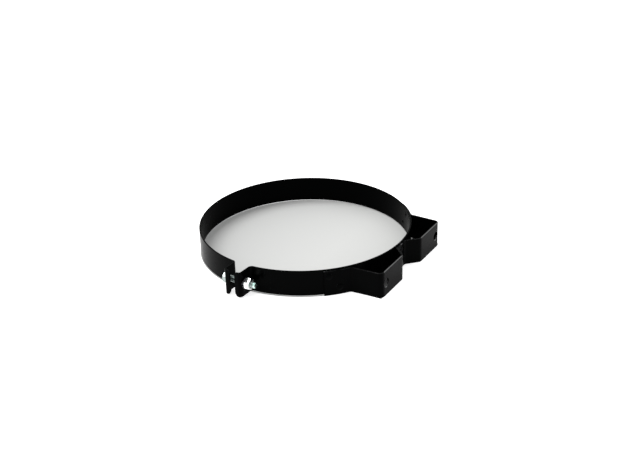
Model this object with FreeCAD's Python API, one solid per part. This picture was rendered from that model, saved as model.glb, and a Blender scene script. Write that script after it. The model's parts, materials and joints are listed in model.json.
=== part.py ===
import FreeCAD, Part
import math
import os

from FreeCAD import Vector

# Mounting band clamp for an 8 in hose, duct or canister, in millimetres. One steel strip is bent
# round the bore and ends in two ears that a bolt draws together. A second strip, bent into two
# feet with a valley between them, is riveted outside the band, a little below its upper edge,
# and bolts to a flat wall.
# Frame: the origin is on the bore's axis at the band's lower edge, +Z runs along the axis, and
# +X points square to the wall that the feet stand against.

# Flat strip that the band and the feet are both cut from
strip_width = 25.0
strip_thick = 1.5
edge_round_r = 0.3

# Band and its two ears
bore_d = 203.2
closure_angle = -92.9
ear_gap = 15.4
lip_gap = 5.4
lip_corner_r = 3.0
lip_beyond_nut = 1.7
ear_fold_inside_r = 1.5
ear_root_inside_r = 2.5
flex_slit = 0.06

# Feet
foot_drop = 1.0
wall_stand = 12.4
feet_width = 121.0
valley_width = 38.0
outer_leg_splay = 2.4
inner_leg_slope = 45.0
foot_bend_inside_r = 3.5
flange_length = 23.5
wall_hole_d = 9.0
wall_hole_pitch = 104.0

# Bolt, nut and lock washer
thread_d = 6.0
thread_pitch = 1.0
bolt_length = 30.0
bolt_tip_chamfer = 0.8
head_af = 10.0
head_h = 4.0
nut_af = 10.0
nut_h = 5.0
hex_chamfer_slope = 30.0
washer_d = 11.8
washer_thick = 1.6
washer_split = 1.2
washer_split_lean = 20.0
washer_clearance = 0.1
nut_clearance = 0.05
ear_hole_clearance = 0.5
washer_to_bend = 0.1
closing_turns = 5.0
tilt_margin = 0.05

# Rivets
rivet_d = 4.0
rivet_head_d = 7.0
rivet_head_h = 0.9
rivet_tail_d = 5.6
rivet_tail_depth = 0.8
rivet_cup_d = 3.2
rivet_cup_depth = 0.9
rivet_edge_distance = 6.5
rivet_end_distance = 4.6
rivet_pair_stagger = 10.0

# How far a cutting body runs past the metal, and how near two places are to count as one
overrun = 2.0
same_place = 0.05

# Sizes that follow
bore_r = bore_d / 2
band_r = bore_r + strip_thick
band_mid_r = bore_r + strip_thick / 2
flange_mid_r = band_r + strip_thick / 2
mid_z = strip_width / 2
nut_across_corners = max(nut_af, head_af) / math.cos(math.pi / 6)
seat_r = max(washer_d, nut_across_corners) / 2
bolt_axis_r = band_r + ear_root_inside_r + washer_to_bend + seat_r
lip_outer_r = bolt_axis_r + seat_r + lip_beyond_nut
ear_outer_t = ear_gap / 2 + strip_thick
closing_tilt = closing_turns * thread_pitch / (bolt_axis_r + band_mid_r)
head_gap = seat_r * math.sin(closing_tilt) + tilt_margin
wall_x = band_r + wall_stand


def polar(radius, degrees, z=0.0):
    angle = math.radians(degrees)
    return Vector(radius * math.cos(angle), radius * math.sin(angle), z)


def bearing(point):
    return math.degrees(math.atan2(point.y, point.x))


def line(start, end):
    return Part.LineSegment(start, end).toShape()


def arc(centre, radius, start_degrees, end_degrees):
    places = (start_degrees, (start_degrees + end_degrees) / 2, end_degrees)
    return Part.Arc(*[centre + polar(radius, place) for place in places]).toShape()


def corner(before, point, after, inside_r):
    """The tangent points and the arc of a bend between two straight runs of a strip's middle line."""
    bend_mid_r = inside_r + strip_thick / 2
    back = (before - point).normalize()
    on = (after - point).normalize()
    half = back.getAngle(on) / 2
    reach = bend_mid_r / math.tan(half)
    centre = point + (back + on).normalize() * (bend_mid_r / math.sin(half))
    nearest = centre + (point - centre).normalize() * bend_mid_r
    start = point + back * reach
    end = point + on * reach
    return start, end, Part.Arc(start, nearest, end).toShape()


def ring_bend(ring_r, point, direction, outward, inside_r):
    """The bend from a straight run, going along direction towards a ring, into the ring's outside."""
    bend_mid_r = inside_r + strip_thick / 2
    offset = point + outward * bend_mid_r
    along = offset.dot(direction)
    square = along * along - offset.dot(offset) + (ring_r + bend_mid_r) ** 2
    centre = offset - direction * (along + math.sqrt(square))
    on_line = centre - outward * bend_mid_r
    on_ring = centre * (ring_r / (ring_r + bend_mid_r))
    middle = centre + ((on_line + on_ring) / 2 - centre).normalize() * bend_mid_r
    return on_line, on_ring, Part.Arc(on_line, middle, on_ring).toShape()


def strip(middle_edges):
    """A square-edged strip standing on edge along its middle line."""
    middle = Part.Wire(Part.__sortEdges__(middle_edges))
    sides = [middle.makeOffset2D(offset, 0, False, True) for offset in (strip_thick / 2, -strip_thick / 2)]
    ends = []
    for place in (0, -1):
        ends.append(line(*[side.OrderedVertexes[place].Point for side in sides]))
    outline = Part.Wire(Part.__sortEdges__(sides[0].Edges + sides[1].Edges + ends))
    return Part.Face(outline).extrude(Vector(0, 0, strip_width))


def break_long_edges(body):
    """The strip with the edges along its top and bottom rounded."""
    long_edges = []
    for edge in body.Edges:
        across = abs(edge.Length - strip_thick) < same_place and edge.Curve.TypeId == "Part::GeomLine"
        if edge.BoundBox.ZLength < same_place and not across:
            long_edges.append(edge)
    return body.makeFillet(edge_round_r, long_edges)


def hole(radius, start, direction, length):
    return Part.makeCylinder(radius, length, start, direction)


def band_half(side):
    """Half the band with its ear, in the closure's frame: X outwards through it, Y around the band."""
    leg_y = side * (ear_gap + strip_thick) / 2
    lip_x = lip_outer_r - strip_thick / 2
    inwards = Vector(-1, 0, 0)
    leg_start, on_ring, root = ring_bend(
        band_mid_r, Vector(lip_x, leg_y, 0), inwards, Vector(0, side, 0), ear_root_inside_r
    )
    tip = Vector(lip_x, side * lip_gap / 2, 0)
    leg_end, lip_start, fold = corner(leg_start, Vector(lip_x, leg_y, 0), tip, ear_fold_inside_r)
    slit = math.degrees(flex_slit / 2 / band_mid_r)
    ring = arc(Vector(), band_mid_r, bearing(on_ring), side * (180 - slit))
    half = strip([ring, root, line(leg_start, leg_end), fold, line(lip_start, tip)])
    half = break_long_edges(half.makeFillet(lip_corner_r, lip_tip_corners(half, side)))
    bolt_hole = hole(
        thread_d / 2 + ear_hole_clearance,
        Vector(bolt_axis_r, side * (ear_gap / 2 - overrun), mid_z),
        Vector(0, side, 0),
        strip_thick + 2 * overrun,
    )
    return half.cut(bolt_hole)


def lip_tip_corners(half, side):
    """The short edges through the strip's thickness at the two corners of a lip's tip."""
    corners = []
    for edge in half.Edges:
        box = edge.BoundBox
        at_tip = abs(box.YMin - side * lip_gap / 2) < same_place and box.YLength < same_place
        if at_tip and box.XMin > bolt_axis_r and box.ZLength < same_place:
            corners.append(edge)
    return corners


def to_row(shape):
    """Turn a shape from the closure's frame into the clamp's own."""
    turned = shape.copy()
    turned.rotate(Vector(), Vector(0, 0, 1), closure_angle)
    return turned


def foot_strip():
    """The strip of both feet: flange, outer leg, foot, inner leg, valley, and the same again mirrored."""
    splay = math.radians(outer_leg_splay)
    slope = math.radians(inner_leg_slope)
    foot_x = wall_x - strip_thick / 2
    outer_corner = Vector(foot_x, (feet_width - strip_thick) / 2, 0)
    inner_corner = Vector(foot_x, valley_width / 2, 0)
    outer_run = Vector(-math.cos(splay), math.sin(splay), 0)
    inner_run = Vector(-math.cos(slope), -math.sin(slope), 0)
    leg_in, flange_in, flange_bend = ring_bend(
        flange_mid_r,
        outer_corner,
        outer_run,
        Vector(math.sin(splay), math.cos(splay), 0),
        foot_bend_inside_r,
    )
    inner_in, valley_in, valley_bend = ring_bend(
        flange_mid_r,
        inner_corner,
        inner_run,
        Vector(math.sin(slope), -math.cos(slope), 0),
        foot_bend_inside_r,
    )
    leg_out, foot_start, outer_bend = corner(leg_in, outer_corner, inner_corner, foot_bend_inside_r)
    foot_end, inner_out, inner_bend = corner(outer_corner, inner_corner, inner_in, foot_bend_inside_r)
    flange_start = bearing(flange_in)
    flange_end = flange_start + math.degrees(flange_length / flange_mid_r)
    half = [
        arc(Vector(), flange_mid_r, flange_end, flange_start),
        flange_bend,
        line(leg_in, leg_out),
        outer_bend,
        line(foot_start, foot_end),
        inner_bend,
        line(inner_out, inner_in),
        valley_bend,
        arc(Vector(), flange_mid_r, bearing(valley_in), 0),
    ]
    other = [edge.mirror(Vector(), Vector(0, 1, 0)) for edge in half]
    feet = break_long_edges(strip(half + other))
    feet.translate(Vector(0, 0, -foot_drop))
    return feet, flange_end


def wall_holes():
    holes = []
    for side in (-1, 1):
        start = Vector(wall_x - strip_thick - overrun, side * wall_hole_pitch / 2, mid_z - foot_drop)
        holes.append(hole(wall_hole_d / 2, start, Vector(1, 0, 0), strip_thick + 2 * overrun))
    return holes


def rivet_places(flange_end):
    """Name, bearing and height of each rivet: a leaning pair in each flange and a pair in the valley."""
    upper = strip_width - rivet_edge_distance
    lower = rivet_edge_distance
    near_end = flange_end - math.degrees(rivet_end_distance / flange_mid_r)
    inboard = near_end - math.degrees(rivet_pair_stagger / flange_mid_r)
    return {
        "rivet_front_flange_upper": (-near_end, upper),
        "rivet_front_flange_lower": (-inboard, lower),
        "rivet_valley_upper": (0, upper),
        "rivet_valley_lower": (0, lower),
        "rivet_back_flange_upper": (inboard, upper),
        "rivet_back_flange_lower": (near_end, lower),
    }


def rivet_bore(degrees, z):
    """The hole through both strips, opened out from inside the band to a cone for the spun tail."""
    outwards = polar(1, degrees)
    start = polar(bore_r - overrun, degrees, z)
    shank = hole(rivet_d / 2, start, outwards, 2 * (strip_thick + overrun))
    slope = (rivet_tail_d - rivet_d) / 2 / rivet_tail_depth
    mouth_r = rivet_tail_d / 2 + slope * overrun
    cone = Part.makeCone(mouth_r, rivet_d / 2, overrun + rivet_tail_depth, start, outwards)
    return shank.fuse(cone)


def rivet(degrees, z):
    """A low domed head outside, a shank through both strips, and a cupped tail flush with the bore."""
    outwards = polar(1, degrees)
    outer_face_r = band_r + strip_thick
    body = rivet_bore(degrees, z).common(ring_between(bore_r, outer_face_r))
    cup = hole(rivet_cup_d / 2, polar(bore_r - overrun, degrees, z), outwards, overrun + rivet_cup_depth)
    head_r = rivet_head_d / 2
    dome_r = (head_r**2 + rivet_head_h**2) / (2 * rivet_head_h)
    dome = Part.makeSphere(dome_r, polar(outer_face_r + rivet_head_h - dome_r, degrees, z))
    blank = hole(head_r, polar(band_r, degrees, z), outwards, strip_thick + rivet_head_h + overrun)
    head = blank.common(dome).cut(ring_between(bore_r, outer_face_r))
    return body.cut(cup).fuse(head).removeSplitter()


def ring_between(inner_r, outer_r):
    outer = Part.makeCylinder(outer_r, strip_width)
    return outer.cut(Part.makeCylinder(inner_r, strip_width))


def hexagon(across_flats, height, start, direction):
    """A hexagonal prism on direction with a flat towards the bore."""
    corner_r = across_flats / 2 / math.cos(math.pi / 6)
    sideways = direction.cross(Vector(0, 0, 1))
    corners = []
    for step in range(7):
        angle = math.radians(60 * step)
        corners.append(start + sideways * (corner_r * math.sin(angle)) + Vector(0, 0, corner_r * math.cos(angle)))
    return Part.Face(Part.makePolygon(corners)).extrude(direction * height)


def chamfer_cone(across_flats, start, direction):
    """A cone that trims the corners of a hexagon whose crowned end lies at start, facing direction."""
    small_r = across_flats / 2
    growth = across_flats
    depth = growth * math.tan(math.radians(hex_chamfer_slope))
    return Part.makeCone(small_r + growth, small_r, depth, start - direction * depth, direction)


def bolt():
    """Hexagon head on the free ear's side, shank through both ears."""
    along = Vector(0, 1, 0)
    under_head = Vector(bolt_axis_r, -ear_outer_t - head_gap, mid_z)
    crown = under_head - along * head_h
    head = hexagon(head_af, head_h, crown, along).common(chamfer_cone(head_af, crown, -along))
    shank = hole(thread_d / 2, under_head, along, bolt_length - bolt_tip_chamfer)
    tip_start = under_head + along * (bolt_length - bolt_tip_chamfer)
    tip = Part.makeCone(thread_d / 2, thread_d / 2 - bolt_tip_chamfer, bolt_tip_chamfer, tip_start, along)
    return head.fuse(shank).fuse(tip).removeSplitter()


def nut():
    along = Vector(0, 1, 0)
    seat = Vector(bolt_axis_r, ear_outer_t + washer_thick, mid_z)
    crown = seat + along * nut_h
    body = hexagon(nut_af, nut_h, seat, along)
    body = body.common(chamfer_cone(nut_af, crown, along)).common(chamfer_cone(nut_af, seat, -along))
    return body.cut(hole(thread_d / 2 + nut_clearance, seat - along * overrun, along, nut_h + 2 * overrun))


def lock_washer():
    """A split ring between the nut and the fixed ear, flattened by the nut."""
    along = Vector(0, 1, 0)
    seat = Vector(bolt_axis_r, ear_outer_t, mid_z)
    ring = hole(washer_d / 2, seat, along, washer_thick)
    ring = ring.cut(hole(thread_d / 2 + washer_clearance, seat, along, washer_thick))
    split = Part.makeBox(washer_d, washer_thick + 2 * overrun, washer_split)
    split.translate(seat + Vector(0, -overrun, -washer_split / 2))
    middle = seat + Vector(0, washer_thick / 2, 0)
    split.rotate(middle, Vector(1, 0, 0), washer_split_lean)
    return ring.cut(split)


def check_and_save(parts):
    os.makedirs("parts", exist_ok=True)
    for name, shape in parts.items():
        if not shape.isValid() or len(shape.Solids) != 1:
            raise RuntimeError(f"{name}: {len(shape.Solids)} solids, valid {shape.isValid()}")
        shape.Solids[0].exportStep(f"parts/{name}.step")
        print(f"{name}: {shape.Volume:.0f} cubic mm")


feet, flange_end = foot_strip()
places = rivet_places(flange_end)
bores = [rivet_bore(*place) for place in places.values()]
parts = {
    "band_fixed_side": to_row(band_half(1)).cut(bores),
    "band_free_side": to_row(band_half(-1)),
    "foot_strip": feet.cut(bores + wall_holes()),
    "hex_bolt": to_row(bolt()),
    "lock_washer": to_row(lock_washer()),
    "hex_nut": to_row(nut()),
}
for name, place in places.items():
    parts[name] = rivet(*place)
check_and_save(parts)
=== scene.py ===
import json
import math

import bmesh
import bpy
from mathutils import Matrix, Vector


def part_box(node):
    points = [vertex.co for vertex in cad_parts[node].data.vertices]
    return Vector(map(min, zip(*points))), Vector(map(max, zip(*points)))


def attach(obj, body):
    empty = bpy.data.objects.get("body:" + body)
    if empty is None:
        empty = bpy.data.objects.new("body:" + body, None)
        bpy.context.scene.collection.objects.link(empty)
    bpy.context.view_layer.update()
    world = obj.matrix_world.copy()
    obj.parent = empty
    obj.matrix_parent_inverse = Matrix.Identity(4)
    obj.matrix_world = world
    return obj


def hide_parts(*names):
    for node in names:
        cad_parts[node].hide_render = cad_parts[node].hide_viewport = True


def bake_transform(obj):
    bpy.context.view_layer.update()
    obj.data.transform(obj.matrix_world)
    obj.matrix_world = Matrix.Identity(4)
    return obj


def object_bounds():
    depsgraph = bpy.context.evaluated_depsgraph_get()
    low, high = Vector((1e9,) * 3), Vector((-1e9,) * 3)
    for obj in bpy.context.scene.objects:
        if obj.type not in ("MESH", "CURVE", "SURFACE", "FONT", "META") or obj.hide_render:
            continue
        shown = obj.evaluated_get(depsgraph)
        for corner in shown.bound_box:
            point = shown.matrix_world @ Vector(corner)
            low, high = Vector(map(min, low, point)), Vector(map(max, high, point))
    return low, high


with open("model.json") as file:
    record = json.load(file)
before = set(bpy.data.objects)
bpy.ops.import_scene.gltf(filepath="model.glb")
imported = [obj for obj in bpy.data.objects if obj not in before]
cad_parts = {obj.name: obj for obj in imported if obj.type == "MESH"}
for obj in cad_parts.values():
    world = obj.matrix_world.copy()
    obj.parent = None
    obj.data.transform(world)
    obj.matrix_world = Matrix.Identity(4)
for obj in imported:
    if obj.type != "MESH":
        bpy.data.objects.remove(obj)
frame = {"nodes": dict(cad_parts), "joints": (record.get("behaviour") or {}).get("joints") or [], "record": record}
cad_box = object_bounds()


# The band: one strip of mild steel, sheared from flat stock, rolled to a ring and folded out
# into two ears with hooked lips. It is punched for the bolt and for six rivets, dipped in black
# enamel after riveting.

mm = 0.001
mounts = {mount["name"]: mount for mount in frame["record"]["mounts"]}
joints = {joint["name"]: joint for joint in frame["joints"]}
bore_r = mounts["bore"]["dims"]["r_mm"] * mm
strip_width = mounts["bore"]["dims"]["length_mm"] * mm
strip_thick = 1.5 * mm
edge_round = 0.3 * mm
rim_break = 0.12 * mm
face_half = strip_width / 2 - edge_round
face_lines = [-face_half] + [place * mm for place in range(-12, 13)] + [face_half]

ear_gap = 15.4 * mm
lip_gap = 5.4 * mm
lip_corner = 3.0 * mm
lip_beyond_bolt = 7.6 * mm
ear_fold_inside = 1.5 * mm
ear_root_inside = 2.5 * mm
ear_hole_r = 3.5 * mm
rivet_shank_r = 2.0 * mm
rivet_tail_r = 2.8 * mm
thick_enamel = (0.0004, 0.0005, 0.0005)
enamel_gloss = 0.014
enamel_relief = 0.05 * mm

band_mid_r = bore_r + strip_thick / 2
bolt_place = Vector(joints["nut_turn"]["pos_m"])
bolt_axis_r = bolt_place.xy.length
around_gap = -Vector(joints["nut_turn"]["axis"])
closure_bearing = math.atan2(bolt_place.y, bolt_place.x)
rivet_names = [name for name in frame["nodes"] if name.startswith("rivet")]


def middle_of(node):
    low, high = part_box(node)
    return (Vector(low) + Vector(high)) / 2


def bearing(point):
    return math.atan2(point.y, point.x)


def straight(start, end):
    """A run of the strip's middle line: its length, and the place and heading at a distance."""
    heading = (end - start).normalized()
    return (end - start).length, lambda far: (start + heading * far, heading)


def arc(centre, radius, first, last):
    """A run that turns about centre between two bearings, to the left if last is the larger."""
    side = math.copysign(1, last - first)

    def at(far):
        turned = first + side * far / radius
        out = Vector((math.cos(turned), math.sin(turned)))
        return centre + out * radius, Vector((-out.y, out.x)) * side

    return abs(last - first) * radius, at


def bend(centre, start, end):
    """The short arc about centre from start to end."""
    out = start - centre
    turned = math.atan2(out.cross(end - centre), out.dot(end - centre))
    return arc(centre, out.length, bearing(out), bearing(out) + turned)


def corner(before, point, after, inside_r):
    """A bend between two straight runs that meet at point: where it starts, where it ends, the run."""
    mid_r = inside_r + strip_thick / 2
    back = (before - point).normalized()
    onward = (after - point).normalized()
    half = back.angle(onward) / 2
    start = point + back * mid_r / math.tan(half)
    end = point + onward * mid_r / math.tan(half)
    return start, end, bend(point + (back + onward).normalized() * mid_r / math.sin(half), start, end)


def ring_bend(ring_r, point, inwards, outward, inside_r):
    """A bend from a straight run, going inwards through point, into the outside of a ring."""
    mid_r = inside_r + strip_thick / 2
    offset = point + outward * mid_r
    along = offset.dot(inwards)
    square = along * along - offset.dot(offset) + (ring_r + mid_r) ** 2
    centre = offset - inwards * (along + math.sqrt(square))
    start = centre - outward * mid_r
    end = centre * ring_r / (ring_r + mid_r)
    return start, end, bend(centre, start, end)


def backwards(run):
    length, at = run

    def reversed_at(far):
        point, heading = at(length - far)
        return point, -heading

    return length, reversed_at


def mirrored(runs):
    """The same runs on the other side of the X axis, met in the other order."""
    across_x = Matrix(((1, 0), (0, -1)))

    def flip(length, at):
        return length, lambda far: tuple(across_x @ value for value in at(far))

    return [flip(*backwards(run)) for run in reversed(runs)]


def section_loop():
    """Offset through the thickness and distance across, right round the strip from its outer face."""
    through = strip_thick / 2 - edge_round
    corners = []
    for middle, across, turns in (
        (through, face_half, (30, 60, 90)),
        (-through, face_half, (90, 120, 150)),
        (-through, -face_half, (210, 240, 270)),
        (through, -face_half, (270, 300, 330)),
    ):
        for turn in map(math.radians, turns):
            corners.append((middle + edge_round * math.cos(turn), across + edge_round * math.sin(turn)))
    outer = [(strip_thick / 2, across) for across in face_lines]
    inner = [(-strip_thick / 2, -across) for across in face_lines]
    return outer + corners[:6] + inner + corners[6:]


def stations(runs, holes):
    """Distances along the strip: fine in the bends, and a millimetre apart beside each hole."""
    places = [0.0]
    for length, at in runs:
        turn = 2 * at(0)[1].angle(at(length / 2)[1])
        steps = max(math.ceil(length / (3 * mm)), math.ceil(math.degrees(turn) / 9))
        places += [places[-1] + length * step / steps for step in range(1, steps + 1)]
    for along, across, outer_r, inner_r, cells in holes:
        places = [place for place in places if abs(place - along) > (cells + 0.4) * mm]
        places = sorted(places + [along + step * mm for step in range(-cells, cells + 1)])
    return [place for place, after in zip(places, places[1:] + [math.inf]) if after - place > 1e-6]


def nearest(values, wanted):
    return min(range(len(values)), key=lambda place: abs(values[place] - wanted))


def bent_strip(name, runs, holes, middle_z, turn=0.0, lip_at=None):
    """A strip bent along its runs, with rounded long edges and a clean ring of faces at each hole.

    A hole is its distance along and across, its radius in the outer and in the inner face, and
    how many millimetres of the strip's grid it takes up on each side of its middle."""
    made = bmesh.new()
    whole_turn = Matrix.Rotation(turn, 2)
    loop = section_loop()
    lines = stations(runs, holes)
    inner_last = len(loop) - 7

    def place(far, across, through):
        share = 1 if lip_at is None else lip_at(far)
        for length, at in runs:
            if far <= length + 1e-9:
                break
            far -= length
        point, heading = at(far)
        spot = whole_turn @ (point + Vector((heading.y, -heading.x)) * through)
        return made.verts.new((spot.x, spot.y, middle_z + across * share))

    grid = [[place(far, across, through) for through, across in loop] for far in lines]
    open_cells = set()
    for along, across, outer_r, inner_r, cells in holes:
        first = nearest(lines, along - cells * mm)
        low = nearest(face_lines, across - cells * mm)
        size = 2 * cells
        around = [(0, k) for k in range(size)] + [(k, size) for k in range(size)]
        around += [(size, size - k) for k in range(size)] + [(size - k, 0) for k in range(size)]
        walls = []
        for face, radius in ((1, outer_r), (-1, inner_r)):
            rims = []
            for i, j in around:
                line = low + j if face == 1 else inner_last - low - j
                angle = math.atan2(j - cells, i - cells)
                rim = [grid[first + i][line]]
                for reach, depth in ((radius + rim_break, 0), (radius, rim_break)):
                    there = (along + reach * math.cos(angle), across + reach * math.sin(angle))
                    rim.append(place(*there, face * (strip_thick / 2 - depth)))
                rims.append(rim)
            for rim, beside in zip(rims, rims[1:] + rims[:1]):
                made.faces.new((rim[0], beside[0], beside[1], rim[1]))
                made.faces.new((rim[1], beside[1], beside[2], rim[2]))
            walls.append([rim[2] for rim in rims])
            for j in range(size):
                line = low + j if face == 1 else inner_last - 1 - low - j
                open_cells.update((first + i, line) for i in range(size))
        for k in range(len(around)):
            made.faces.new((walls[0][k], walls[0][k - 1], walls[1][k - 1], walls[1][k]))
    for i in range(len(lines) - 1):
        for j in range(len(loop)):
            if (i, j) not in open_cells:
                beside = (j + 1) % len(loop)
                made.faces.new((grid[i][j], grid[i + 1][j], grid[i + 1][beside], grid[i][beside]))
    made.faces.new(grid[0])
    made.faces.new(grid[-1])
    return finished(name, made)


def finished(name, made):
    """The mesh as an object, with all its faces turned outwards."""
    bmesh.ops.recalc_face_normals(made, faces=made.faces)
    mesh = bpy.data.meshes.new(name)
    made.to_mesh(mesh)
    made.free()
    piece = bpy.data.objects.new(name, mesh)
    bpy.context.scene.collection.objects.link(piece)
    return piece


class Socket:
    """A shader value: arithmetic on it adds Math nodes, and node() adds any other."""

    tree = None

    def __init__(self, link):
        self.link = link

    @staticmethod
    def node(kind, settings=None, output=0, **inputs):
        made = Socket.tree.nodes.new("ShaderNode" + kind)
        for name, value in (settings or {}).items():
            setattr(made, name, value)
        for name, value in inputs.items():
            place = int(name[1:]) if name[1:].isdigit() else name.replace("_", " ")
            Socket.feed(made.inputs[place], value)
        return Socket(made.outputs[output])

    @staticmethod
    def feed(target, value):
        if isinstance(value, Socket):
            Socket.tree.links.new(value.link, target)
        else:
            target.default_value = value

    def math(self, operation, other, first=True):
        pair = (self, other) if first else (other, self)
        return Socket.node("Math", {"operation": operation}, s0=pair[0], s1=pair[1])

    def __add__(self, other):
        return self.math("ADD", other)

    def __mul__(self, other):
        return self.math("MULTIPLY", other)

    def __sub__(self, other):
        return self.math("SUBTRACT", other)

    def __rsub__(self, other):
        return self.math("SUBTRACT", other, first=False)

    __radd__ = __add__


def mix_colour(factor, first, second):
    ends = [end if isinstance(end, Socket) else (*end, 1) for end in (first, second)]
    return Socket.node("Mix", {"data_type": "RGBA"}, output=2, s0=factor, s6=ends[0], s7=ends[1])


def between(value, low, high, first=0.0, last=1.0):
    return Socket.node("MapRange", s0=value, s1=low, s2=high, s3=first, s4=last)


def noise(scale, detail=4.0, roughness=0.5):
    place = Socket.node("TexCoord", output=3)
    return Socket.node("TexNoise", Vector=place, Scale=scale, Detail=detail, Roughness=roughness)


def new_material(name):
    made = bpy.data.materials.new(name)
    made.use_nodes = True
    Socket.tree = made.node_tree
    return made, made.node_tree.nodes["Principled BSDF"].inputs


def black_enamel(name, thin_edge_and_highlight, grain_shift=0):
    """Glossy black enamel: orange peel, slow flow, dust nibs, and lighter edges that face upwards.

    The second argument is the colour of those edges, partly enamel run thin and partly a painted
    highlight; grain_shift gives a piece a pattern of its own."""
    made, surface = new_material(name)
    peel = noise(700.0 + grain_shift, 2.0)
    flow = noise(45.0 + grain_shift, 3.0)
    place = Socket.node("TexCoord", output=3)
    specks = Socket.node("TexVoronoi", Vector=place, Scale=260.0 + grain_shift)
    nib = between(specks, 0.03, 0.12, 1.0, 0.0)
    edge = Socket.node("NewGeometry", output=7)
    facing = Socket.node("SeparateXYZ", output=2, s0=Socket.node("NewGeometry", output=1))
    ragged_edge = edge + (flow - 0.5) * 0.06 + (peel - 0.5) * 0.05
    # Edges that face upwards take the lighter edge colour: partly enamel run thin, partly a painted highlight.
    thin_and_lit_edge = between(ragged_edge, 0.53, 0.60) * between(facing, 0.1, 0.6)
    Socket.feed(surface["Base Color"], mix_colour(thin_and_lit_edge, thick_enamel, thin_edge_and_highlight))
    Socket.feed(surface["Roughness"], 0.2 + flow * 0.12 + thin_and_lit_edge * 0.15)
    height = peel * 0.35 + flow * 0.9 + nib * 0.08
    bump = Socket.node("Bump", Strength=0.3, Distance=enamel_relief, Height=height)
    Socket.feed(surface["Normal"], bump)
    surface["Specular IOR Level"].default_value = enamel_gloss
    return made


def shade(piece, material, sharp_degrees=32):
    """One material, and smooth shading broken where two faces meet sharply."""
    piece.data.materials.clear()
    piece.data.materials.append(material)
    piece.data.shade_smooth()
    piece.data.set_sharp_from_angle(angle=math.radians(sharp_degrees))


lip_mid_x = bolt_axis_r + lip_beyond_bolt - strip_thick / 2
fold_point = Vector((lip_mid_x, (ear_gap + strip_thick) / 2))
lip_tip = Vector((lip_mid_x, lip_gap / 2))
root_start, root_end, root = ring_bend(
    band_mid_r, fold_point, Vector((-1, 0)), Vector((0, 1)), ear_root_inside
)
fold_start, fold_end, fold = corner(lip_tip, fold_point, root_start, ear_fold_inside)
ear = [straight(lip_tip, fold_start), fold, straight(fold_end, root_start), root]
ring = arc(Vector((0, 0)), band_mid_r, bearing(root_end), 2 * math.pi - bearing(root_end))
band_runs = ear + [ring] + mirrored(ear)
band_length = sum(length for length, at in band_runs)
ring_starts = sum(length for length, at in ear)
ear_hole_along = ear[0][0] + ear[1][0] + fold_end.x - bolt_axis_r


def rounded_lip(far):
    """The strip's share of its full width near the tip of a lip, whose two corners are rounded."""
    short = min(max(lip_corner - min(far, band_length - far), 0), lip_corner)
    cut_off = lip_corner - math.sqrt(lip_corner**2 - short**2)
    return 1 - cut_off / (strip_width / 2)


ear_holes_along = (ear_hole_along, band_length - ear_hole_along)
band_holes = [(far, 0.0, ear_hole_r, ear_hole_r, 5) for far in ear_holes_along]
for name in rivet_names:
    middle = middle_of(name)
    turned = (bearing(middle) - closure_bearing) % (2 * math.pi) - bearing(root_end)
    across = middle.z - strip_width / 2
    band_holes.append((ring_starts + turned * band_mid_r, across, rivet_shank_r, rivet_tail_r, 4))
band = bent_strip("band", band_runs, band_holes, strip_width / 2, closure_bearing, rounded_lip)
# The band's upper edges are a little lighter: thin enamel and a painted highlight.
shade(band, black_enamel("band_enamel", (0.012, 0.0125, 0.013)))
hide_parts("band_fixed_side", "band_free_side")
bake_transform(band)


# The foot strip: a second length of the same stock, folded into two feet with a valley between
# them. Its flanges and its valley are riveted on the band's outside, a millimetre lower than the
# band, and each foot has a punched hole for a wall bolt. It is enamelled together with the band.

feet_width = 121.0 * mm
valley_width = 38.0 * mm
outer_leg_splay = math.radians(2.4)
inner_leg_slope = math.radians(45)
foot_bend_inside = 3.5 * mm
flange_length = 23.5 * mm
wall_x = mounts["wall_holes"]["pos_m"][0]
feet_middle_z = mounts["wall_holes"]["pos_m"][2]
wall_hole_pitch = mounts["wall_holes"]["dims"]["spacing_x_mm"] * mm
wall_hole_r = mounts["wall_holes"]["dims"]["hole_r_mm"] * mm

flange_mid_r = band_mid_r + strip_thick
foot_mid_x = wall_x - strip_thick / 2
outer_corner = Vector((foot_mid_x, (feet_width - strip_thick) / 2))
inner_corner = Vector((foot_mid_x, valley_width / 2))
leg_in, flange_in, flange_bend = ring_bend(
    flange_mid_r,
    outer_corner,
    Vector((-math.cos(outer_leg_splay), math.sin(outer_leg_splay))),
    Vector((math.sin(outer_leg_splay), math.cos(outer_leg_splay))),
    foot_bend_inside,
)
slope_in, valley_in, valley_bend = ring_bend(
    flange_mid_r,
    inner_corner,
    Vector((-math.cos(inner_leg_slope), -math.sin(inner_leg_slope))),
    Vector((math.sin(inner_leg_slope), -math.cos(inner_leg_slope))),
    foot_bend_inside,
)
slope_out, foot_in, inner_bend = corner(slope_in, inner_corner, outer_corner, foot_bend_inside)
foot_out, leg_out, outer_bend = corner(inner_corner, outer_corner, leg_in, foot_bend_inside)
flange_turn = flange_length / flange_mid_r
half_feet = [
    arc(Vector((0, 0)), flange_mid_r, 0, bearing(valley_in)),
    backwards(valley_bend),
    straight(slope_in, slope_out),
    inner_bend,
    straight(foot_in, foot_out),
    outer_bend,
    straight(leg_out, leg_in),
    flange_bend,
    arc(Vector((0, 0)), flange_mid_r, bearing(flange_in), bearing(flange_in) + flange_turn),
]
half_length = sum(length for length, at in half_feet)
wall_hole_along = sum(length for length, at in half_feet[:4]) + wall_hole_pitch / 2 - foot_in.y
wall_holes_along = (half_length - wall_hole_along, half_length + wall_hole_along)
foot_holes = [(far, 0.0, wall_hole_r, wall_hole_r, 5) for far in wall_holes_along]


def along_feet(turned):
    """How far a bearing on the valley or on the back flange lies from the middle of the valley."""
    if turned < bearing(valley_in):
        return turned * flange_mid_r
    return half_length + (turned - bearing(flange_in) - flange_turn) * flange_mid_r


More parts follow.
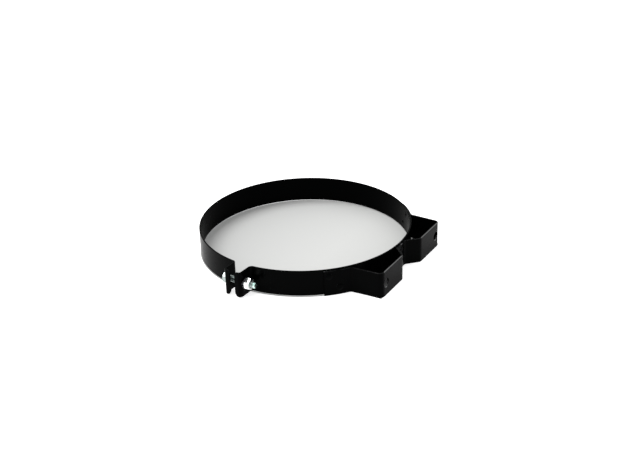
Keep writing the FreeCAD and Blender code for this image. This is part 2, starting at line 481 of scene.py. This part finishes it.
for name in rivet_names:
    middle = middle_of(name)
    along = math.copysign(along_feet(abs(bearing(middle))), middle.y)
    across = middle.z - feet_middle_z
    foot_holes.append((half_length + along, across, rivet_shank_r, rivet_shank_r, 4))
feet = bent_strip("feet", mirrored(half_feet) + half_feet, foot_holes, feet_middle_z)
# The foot strip's upper edges are much lighter than the band's: thin enamel and a painted highlight.
shade(feet, black_enamel("foot_enamel", (0.12, 0.121, 0.122), 31))
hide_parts("foot_strip")
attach(feet, "clamp_body")


# Six rivets: solid steel, low domed heads outside, closed from inside the bore by spinning their
# tails into a countersink, which leaves a shallow cup. The enamel pools round each head.

rivet_head_r = 3.5 * mm
rivet_head_h = 0.9 * mm
rivet_cup_r = 1.6 * mm
rivet_cup_depth = 0.9 * mm
rivet_cup_lip = 0.1 * mm
rivet_cup_round = 0.25 * mm
countersink_depth = 0.8 * mm
head_rim_h = 0.06 * mm
head_rim_share = 0.98
tail_edge = 0.05 * mm
tail_inset = 0.02 * mm
head_seat_r = bore_r + 2 * strip_thick


def revolve(made, outline, place, steps=40):
    """Spin an outline of (radius, height) points about place's Z axis into a closed skin."""
    rings = []
    for radius, height in outline:
        if radius == 0:
            rings.append([made.verts.new(place @ Vector((0, 0, height)))] * steps)
            continue
        ring = []
        for step in range(steps):
            turn = 2 * math.pi * step / steps
            spot = Vector((radius * math.cos(turn), radius * math.sin(turn), height))
            ring.append(made.verts.new(place @ spot))
        rings.append(ring)
    for ring_a, ring_b in zip(rings, rings[1:]):
        for step in range(steps):
            corners = [ring_a[step], ring_a[step - 1], ring_b[step - 1], ring_b[step]]
            made.faces.new(list(dict.fromkeys(corners)))


def rivet_outline():
    """From the crown of the dome round its rim, down the shank and into the cup of the tail."""
    dome_r = (rivet_head_r**2 + rivet_head_h**2) / (2 * rivet_head_h)
    widest = math.asin(rivet_head_r / dome_r)
    outline = []
    for step in range(9):
        turn = widest * step / 8
        height = head_seat_r + rivet_head_h + dome_r * (math.cos(turn) - 1)
        outline.append((dome_r * math.sin(turn) * head_rim_share, height))
    cup_floor = bore_r + rivet_cup_depth
    return outline + [
        (rivet_head_r, head_seat_r),
        (rivet_head_r, head_seat_r - head_rim_h),
        (rivet_shank_r, head_seat_r - head_rim_h),
        (rivet_shank_r, bore_r + countersink_depth),
        (rivet_tail_r, bore_r + tail_inset),
        (rivet_tail_r - tail_edge, bore_r),
        (rivet_cup_r + rivet_cup_lip, bore_r),
        (rivet_cup_r, bore_r + rivet_cup_lip),
        (rivet_cup_r - tail_edge, cup_floor - rivet_cup_round),
        (rivet_cup_r - rivet_cup_round, cup_floor),
        (0, cup_floor),
    ]


# The upper rims of the rivet heads are lighter: thin enamel and a painted highlight.
rivet_enamel = black_enamel("rivet_enamel", (0.08, 0.081, 0.082), 67)
for name in rivet_names:
    middle = middle_of(name)
    outwards = Vector((middle.x, middle.y, 0)).normalized()
    leaning = outwards.to_track_quat("Z", "Y").to_matrix().to_4x4()
    place = Matrix.Translation((0, 0, middle.z)) @ leaning
    made = bmesh.new()
    revolve(made, rivet_outline(), place)
    piece = finished("painted_" + name, made)
    shade(piece, rivet_enamel, 40)
    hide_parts(name)
    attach(piece, "clamp_body")


# The bolt: a hexagon-head M6 screw, threaded along nearly all of its length by rolling, with a
# turned chamfer on its head and its tip. It is zinc plated, with a pale green passivation that
# shows most on the end of the shank. It draws the free ear towards the fixed one.

thread_r = 3.0 * mm
thread_pitch = 1.0 * mm
thread_depth = 0.6134 * thread_pitch
bolt_length = 30.0 * mm
tip_chamfer = 0.8 * mm
hex_af = 10.0 * mm
head_h = 4.0 * mm
hex_corner_round = 0.25 * mm
hex_flat_r = 0.97 * hex_af / 2
crown_middle_r = 0.6 * hex_flat_r
neck_r = thread_r + 0.2 * mm
tip_middle_r = thread_r - tip_chamfer - 0.4 * mm
zinc_relief = 0.04 * mm
scratch_scale = (260.0, 2600.0, 900.0)
hex_chamfer_rise = math.tan(math.radians(30))

upwards = Vector((0, 0, 1))
bolt_frame = Matrix((upwards, around_gap.cross(upwards), around_gap)).transposed().to_4x4()
bolt_frame.translation = bolt_place


def along_bolt(node):
    """The lowest and highest distance of a node along the bolt, from the middle of the closure."""
    spots = [(vertex.co - bolt_place).dot(around_gap) for vertex in frame["nodes"][node].data.vertices]
    return min(spots), max(spots)


def hexagon():
    """Points round a hexagon with softly rounded corners, the first corner at the top."""
    centre_r = (hex_af / 2 - hex_corner_round) / math.cos(math.pi / 6)
    points = []
    for side in range(6):
        to_corner = math.radians(60 * side)
        centre = Vector((math.cos(to_corner), math.sin(to_corner))) * centre_r
        for turn in (-30, -15, 0, 15, 30):
            out = to_corner + math.radians(turn)
            points.append(centre + Vector((math.cos(out), math.sin(out))) * hex_corner_round)
        to_flat = math.radians(60 * side + 30)
        flat = Vector((math.cos(to_flat), math.sin(to_flat))) * hex_af / 2
        along = Vector((-math.sin(to_flat), math.cos(to_flat))) * centre_r / 2
        points += [flat + along * share for share in (-0.8, -0.55, -0.25, 0, 0.25, 0.55, 0.8)]
    return points


turns = [bearing(point) for point in hexagon()]
hex_radii = [point.length for point in hexagon()]


def hex_ring(height, back=0):
    """Radius and height round the hexagon; back is 1 or -1 where the turned chamfer trims it."""
    return [(r, height + back * max(r - hex_flat_r, 0) * hex_chamfer_rise) for r in hex_radii]


def round_ring(radius, height):
    return [(radius, height) for turn in turns]


def thread_ring(height, radius_at):
    return [(radius_at(turn, height), height) for turn in turns]


def thread_share(turn, height):
    """How far out a right-handed thread stands, 0 in its flat root and 1 on its narrower flat crest."""
    phase = (height / thread_pitch - turn / (2 * math.pi)) % 1
    from_crest = min(phase, 1 - phase)
    return min(max((3 / 8 - from_crest) / (5 / 16), 0), 1)


def turned_piece(name, rings, closed):
    """Rings of points about the bolt's axis, joined in turn; the ends are capped unless closed."""
    made = bmesh.new()
    skins = []
    for ring_points in rings:
        skin = []
        for turn, (radius, height) in zip(turns, ring_points):
            spot = Vector((radius * math.cos(turn), radius * math.sin(turn), height))
            skin.append(made.verts.new(bolt_frame @ spot))
        skins.append(skin)
    if closed:
        skins.append(skins[0])
    for ring_a, ring_b in zip(skins, skins[1:]):
        for step in range(len(turns)):
            made.faces.new((ring_a[step], ring_a[step - 1], ring_b[step - 1], ring_b[step]))
    if not closed:
        made.faces.new(skins[0])
        made.faces.new(skins[-1])
    return finished(name, made)


def plated_steel(name, light, dark, tip=None, tip_from=0.0):
    """Bright zinc over steel: cloudy grain, tumbling nicks, fine scratches and a tinted tip."""
    made, surface = new_material(name)
    cloud = noise(420.0, 5.0, 0.6)
    grain = noise(1900.0, 2.0)
    place = Socket.node("TexCoord", output=3)
    streaks = Socket.node("Mapping", s0=place, s3=scratch_scale)
    scratch = between(Socket.node("TexNoise", Vector=streaks, Scale=1.0, Detail=3.0), 0.56, 0.66)
    nick = between(Socket.node("TexVoronoi", Vector=place, Scale=520.0), 0.05, 0.16, 1.0, 0.0)
    colour = mix_colour(cloud * 0.7 + nick * 0.4, light, dark)
    if tip:
        along = Socket.node("SeparateXYZ", s0=place)
        colour = mix_colour(between(along, tip_from, tip_from + mm), colour, tip)
    Socket.feed(surface["Base Color"], colour)
    Socket.feed(surface["Roughness"], 0.1 + cloud * 0.1 + scratch * 0.12)
    height = grain * 0.4 + cloud * 0.5 - scratch * 0.5 - nick * 0.4
    bump = Socket.node("Bump", Strength=0.35, Distance=zinc_relief, Height=height)
    Socket.feed(surface["Normal"], bump)
    surface["Metallic"].default_value = 1.0
    return made


head_crown = along_bolt("hex_bolt")[0]
under_head = head_crown + head_h
shank_end = under_head + bolt_length
thread_rows = 10


def shank_radius(turn, height):
    """Full thread beyond a short run-out under the head, cut back to a cone at the tip."""
    blank = thread_r - thread_depth / 2
    formed = min(max((height - under_head - thread_pitch) / thread_pitch, 0), 1)
    thread = thread_r - thread_depth * (1 - thread_share(turn, height))
    cone = thread_r - tip_chamfer + max(shank_end - height, 0)
    return min(blank + formed * (thread - blank), cone)


bolt_rings = [
    round_ring(crown_middle_r, head_crown),
    round_ring(hex_flat_r, head_crown),
    hex_ring(head_crown, 1),
    hex_ring(under_head),
    round_ring(neck_r, under_head),
]
for row in range(round(bolt_length / thread_pitch * thread_rows) + 1):
    bolt_rings.append(thread_ring(under_head + row * thread_pitch / thread_rows, shank_radius))
bolt_rings.append(round_ring(tip_middle_r, shank_end))
bolt = turned_piece("bolt", bolt_rings, closed=False)
zinc_green = (0.62, 0.86, 0.79)
tip_starts = (bolt_place + around_gap * (shank_end - 2 * mm)).x
# The bolt's zinc is much darker than the nut's. This is painted shade that dims the glints on its head and shank.
zinc_bolt = plated_steel("zinc_bolt", (0.36, 0.40, 0.39), (0.22, 0.26, 0.25), zinc_green, tip_starts)
shade(bolt, zinc_bolt, 28)
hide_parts("hex_bolt")
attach(bolt, "bolt")


# The lock washer: a square-section ring of spring steel, cut through at a slant and oiled black.
# The nut has pressed it flat against the fixed ear, so its two cut ends stand almost level.

washer_r = 5.9 * mm
washer_hole_r = 3.1 * mm
washer_round = 0.22 * mm
washer_split = 1.2 * mm
washer_split_lean = math.radians(20)
split_half = washer_split / 2 / math.cos(washer_split_lean)
split_rise = math.tan(washer_split_lean)
washer_from, washer_to = along_bolt("lock_washer")


def washer_section():
    """Radius and height round the washer's section, its four corners softly rounded."""
    points = []
    for r, height, quarter in (
        (washer_r - washer_round, washer_to - washer_round, 0),
        (washer_hole_r + washer_round, washer_to - washer_round, 90),
        (washer_hole_r + washer_round, washer_from + washer_round, 180),
        (washer_r - washer_round, washer_from + washer_round, 270),
    ):
        for turn in range(quarter, quarter + 91, 30):
            out = math.radians(turn)
            points.append((r + washer_round * math.cos(out), height + washer_round * math.sin(out)))
    return points


def washer_ring(step, steps):
    """The section at one step from the upper cut face, down and right round to the lower one."""
    ring_points = []
    for r, height in washer_section():
        lift = split_rise * (height - (washer_from + washer_to) / 2)
        first = math.acos((lift + split_half) / r)
        last = math.acos((lift - split_half) / r) - 2 * math.pi
        turn = first + (last - first) * step / steps
        ring_points.append(bolt_frame @ Vector((r * math.cos(turn), r * math.sin(turn), height)))
    return ring_points


made = bmesh.new()
washer_steps = 72
skins = []
for step in range(washer_steps + 1):
    skins.append([made.verts.new(spot) for spot in washer_ring(step, washer_steps)])
for ring_a, ring_b in zip(skins, skins[1:]):
    for k in range(len(ring_a)):
        made.faces.new((ring_a[k], ring_a[k - 1], ring_b[k - 1], ring_b[k]))
made.faces.new(skins[0])
made.faces.new(skins[-1])
washer = finished("spring_washer", made)
shade(washer, plated_steel("oiled_spring_steel", (0.05, 0.05, 0.054), (0.022, 0.022, 0.024)), 35)
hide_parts("lock_washer")
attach(washer, "clamp_body")


# The nut: an M6 hexagon nut, cold formed and tapped, chamfered on both faces and countersunk at
# both ends of its thread. It is plated in bright zinc and presses the lock washer on the ear.

nut_thread_gap = 0.05 * mm
countersink_r = 3.3 * mm
countersink_slope = math.tan(math.radians(60))
nut_from, nut_to = along_bolt("hex_nut")


def nut_bore_radius(turn, height):
    """The internal thread, a little clear of the bolt's, opened out by a countersink at each end."""
    from_face = min(height - nut_from, nut_to - height)
    thread = thread_r - thread_depth * (1 - thread_share(turn, height)) + nut_thread_gap
    return max(thread, countersink_r - from_face * countersink_slope)


nut_rings = [
    round_ring(hex_flat_r, nut_from),
    hex_ring(nut_from, 1),
    hex_ring(nut_to, -1),
    round_ring(hex_flat_r, nut_to),
]
nut_rows = round((nut_to - nut_from) / thread_pitch * thread_rows)
for row in range(nut_rows + 1):
    height = nut_to + (nut_from - nut_to) * row / nut_rows
    nut_rings.append(thread_ring(height, nut_bore_radius))
nut = turned_piece("nut", nut_rings, closed=True)
shade(nut, plated_steel("zinc_nut", (0.95, 0.98, 0.97), (0.8, 0.84, 0.83)), 28)
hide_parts("hex_nut")
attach(nut, "nut")


# The stage: a bright even room, a soft lamp on the left, and a sheet of white paper level with
# the foot strip's lower edge, glowing outside the band as painted light so that no shadow shows on it.
# Inside the band its grey is painted shade, darker to the left and darkest in the pockets of the feet.

paper_outside = (0.95, 0.95, 0.95)
# Inside the band the paper is grey as painted shade, darker towards the far left.
paper_front_painted_shade = (0.575, 0.58, 0.57)
paper_far_painted_shade = (0.46, 0.465, 0.46)
painted_pocket_shade = (0.12, 0.12, 0.12)
glow_outside = (0.6, 0.6, 0.6)
room_light = 0.95
lamp_power = 16.0
lamp_width = 1.1
lamp_place = Vector((-0.8, -0.15, 1.35))
paper_half = 4.0
painted_shade_until = strip_thick + 0.2 * mm
white_from = strip_thick + 0.9 * mm
pocket_full = 28 * mm
pocket_none = 32 * mm
leg_full = 0.1 * mm
leg_none = 0.6 * mm
plate_none = 0.3 * mm
plate_full = 1.2 * mm

made = bmesh.new()
bmesh.ops.create_grid(made, x_segments=2, y_segments=2, size=paper_half)
floor = finished("floor", made)
floor.location.z = cad_box[0][2]
paper, surface = new_material("white_paper")
place = Socket.node("TexCoord", output=3)
from_axis = Socket.node("VectorMath", {"operation": "LENGTH"}, output=1, s0=place)
past_bore = between(from_axis, bore_r, bore_r + strip_thick)
past_band = between(from_axis, bore_r + painted_shade_until, bore_r + white_from)
rightwards = Socket.node("SeparateXYZ", s0=place)
# The painted shade inside the band deepens to the left, where the band's wall shades it from the lamp.
leftward_painted_shade = between(rightwards, -bore_r, 0.3 * bore_r)
from_middle = Socket.node("SeparateXYZ", output=1, s0=place).math("ABSOLUTE", 0.0)
short_of_wall = wall_x - rightwards
past_valley = from_middle + short_of_wall - valley_width / 2
# Painted shade: the paper in the pockets between the feet and the band is made near black.
pocket_shade = (
    past_bore
    * between(short_of_wall, plate_none, plate_full)
    * between(short_of_wall, pocket_none, pocket_full)
    * between(from_middle - feet_width / 2, leg_none, leg_full)
    * between(past_valley, plate_none, plate_full)
)
# Paper colour: white outside the band, painted shade inside it.
paper_with_painted_shade = mix_colour(past_band, mix_colour(leftward_painted_shade, paper_far_painted_shade, paper_front_painted_shade), paper_outside)
Socket.feed(surface["Base Color"], mix_colour(pocket_shade, paper_with_painted_shade, painted_pocket_shade))
# Painted light: outside the band the paper glows, which hides every shadow falling on it.
glow = mix_colour(past_band, (0, 0, 0), glow_outside)
Socket.feed(surface["Emission Color"], mix_colour(pocket_shade, glow, (0, 0, 0)))
surface["Emission Strength"].default_value = 1.0
surface["Roughness"].default_value = 0.9
surface["Specular IOR Level"].default_value = 0.0
floor.data.materials.append(paper)

room = bpy.data.worlds.new("room")
room.use_nodes = True
room.node_tree.nodes["Background"].inputs["Color"].default_value = (1, 1, 1, 1)
room.node_tree.nodes["Background"].inputs["Strength"].default_value = room_light
bpy.context.scene.world = room
bpy.context.scene.view_settings.view_transform = "Standard"

lamp = bpy.data.objects.new("left_lamp", bpy.data.lights.new("left_lamp", "AREA"))
lamp.data.shape = "DISK"
lamp.data.size = lamp_width
lamp.data.energy = lamp_power
lamp.location = lamp_place
lamp.rotation_euler = (-lamp_place).to_track_quat("-Z", "Y").to_euler()
bpy.context.scene.collection.objects.link(lamp)


# The camera: a long lens, looking down at the closure and the feet from the front right, with
# its horizon a little tilted. Its distance is in band radii, and its aim just right of the axis.

camera_bearing = math.radians(31.7)
camera_lift = math.radians(27.23)
camera_distance = 10.74 * (bore_r + strip_thick)
camera_lens = 63.28
aim_right = math.radians(0.809)
aim_up = math.radians(0.279)
lean_left = math.radians(1.62)

camera = bpy.data.objects.new("camera", bpy.data.cameras.new("camera"))
camera.data.sensor_width = 36.0
camera.data.lens = camera_lens
camera.data.clip_start = 0.01
level = Vector((math.sin(camera_bearing), -math.cos(camera_bearing), 0)) * math.cos(camera_lift)
camera.location = (level + upwards * math.sin(camera_lift)) * camera_distance
pan = Matrix.Rotation(camera_bearing - aim_right, 4, "Z")
tilt = Matrix.Rotation(math.pi / 2 - camera_lift + aim_up, 4, "X")
lean = Matrix.Rotation(-lean_left, 4, "Z")
camera.rotation_mode = "QUATERNION"
camera.rotation_quaternion = (pan @ tilt @ lean).to_quaternion()
bpy.context.scene.collection.objects.link(camera)
bpy.context.scene.camera = camera
